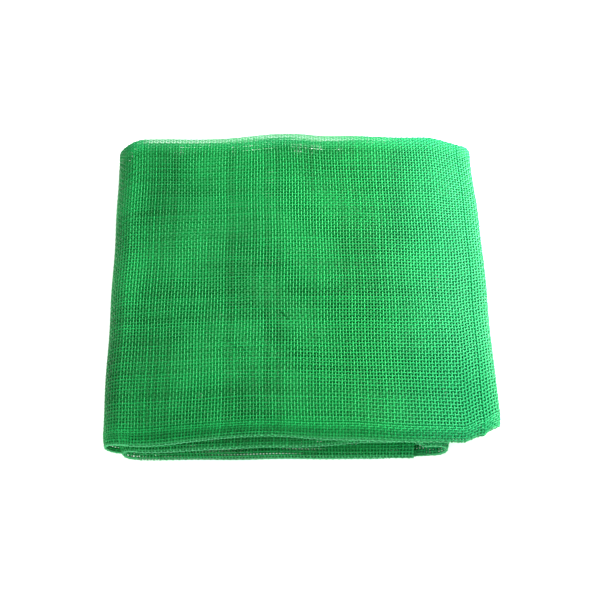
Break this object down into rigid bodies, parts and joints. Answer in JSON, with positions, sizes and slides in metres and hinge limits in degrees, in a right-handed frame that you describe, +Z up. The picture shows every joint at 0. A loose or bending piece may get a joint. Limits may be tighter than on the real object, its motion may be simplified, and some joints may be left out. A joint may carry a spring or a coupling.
{
  "type": "folded mesh netting",
  "caption": "Sheet of fine woven green plastic mesh netting, folded in three and rolled flat into a rectangular bundle whose top leaf lifts open.",
  "frame": {"origin": "centre of the underside, on the surface that the bundle lies on", "axes": "+X along the roll, from the closed left roll to the free end; -Y the front, where the leaves are creased; +Z up"},
  "size_m": [0.26, 0.248, 0.028],
  "materials": {
    "net": "plain-woven polyethylene monofilament, slight sheen",
    "net_roll": "plain-woven polyethylene monofilament bent round a soft fold",
    "net_fold": "plain-woven polyethylene monofilament pressed into a crease",
    "net_tucked": "plain-woven polyethylene monofilament, shaded between two plies"
  },
  "bodies": {
    "folded_stack": {"second_leaf_upper_ply": "net", "second_leaf_middle_ply": "net_tucked", "second_leaf_lower_ply": "net", "second_leaf_front_crease": "net_fold", "second_leaf_back_fold": "net_fold", "third_leaf_upper_ply": "net", "third_leaf_middle_ply": "net_tucked", "third_leaf_lower_ply": "net", "third_leaf_front_crease": "net_fold", "third_leaf_back_fold": "net_fold", "bottom_leaf_upper_ply": "net", "bottom_leaf_middle_ply": "net_tucked", "bottom_leaf_lower_ply": "net", "bottom_leaf_front_crease": "net_fold", "bottom_leaf_back_fold": "net_fold", "inner_fold_outer_ply": "net_roll", "inner_fold_middle_ply": "net_roll", "inner_fold_inner_ply": "net_roll", "right_fold_outer_ply": "net_roll", "right_fold_middle_ply": "net_roll", "right_fold_inner_ply": "net_roll", "left_roll_outer_ply": "net_roll", "left_roll_middle_ply": "net_roll", "left_roll_inner_ply": "net_roll"},
    "top_leaf": {"top_leaf_upper_ply": "net", "top_leaf_middle_ply": "net_tucked", "top_leaf_lower_ply": "net", "top_leaf_front_crease": "net_fold", "top_leaf_back_fold": "net_fold", "end_flap_upper_ply": "net", "end_flap_middle_ply": "net_tucked", "end_flap_lower_ply": "net", "end_flap_front_crease": "net_fold", "end_flap_back_fold": "net_fold", "end_fold_outer_ply": "net_roll", "end_fold_middle_ply": "net_roll", "end_fold_inner_ply": "net_roll"}
  },
  "joints": [
    {"name": "top_leaf_lift", "type": "hinge", "parent": "folded_stack", "child": "top_leaf", "pos_m": [-0.1286, 0, 0.014], "axis": [0, -1, 0], "range_deg": [0, 180], "deforming": ["left_roll_outer_ply", "left_roll_middle_ply", "left_roll_inner_ply"]}
  ]
}
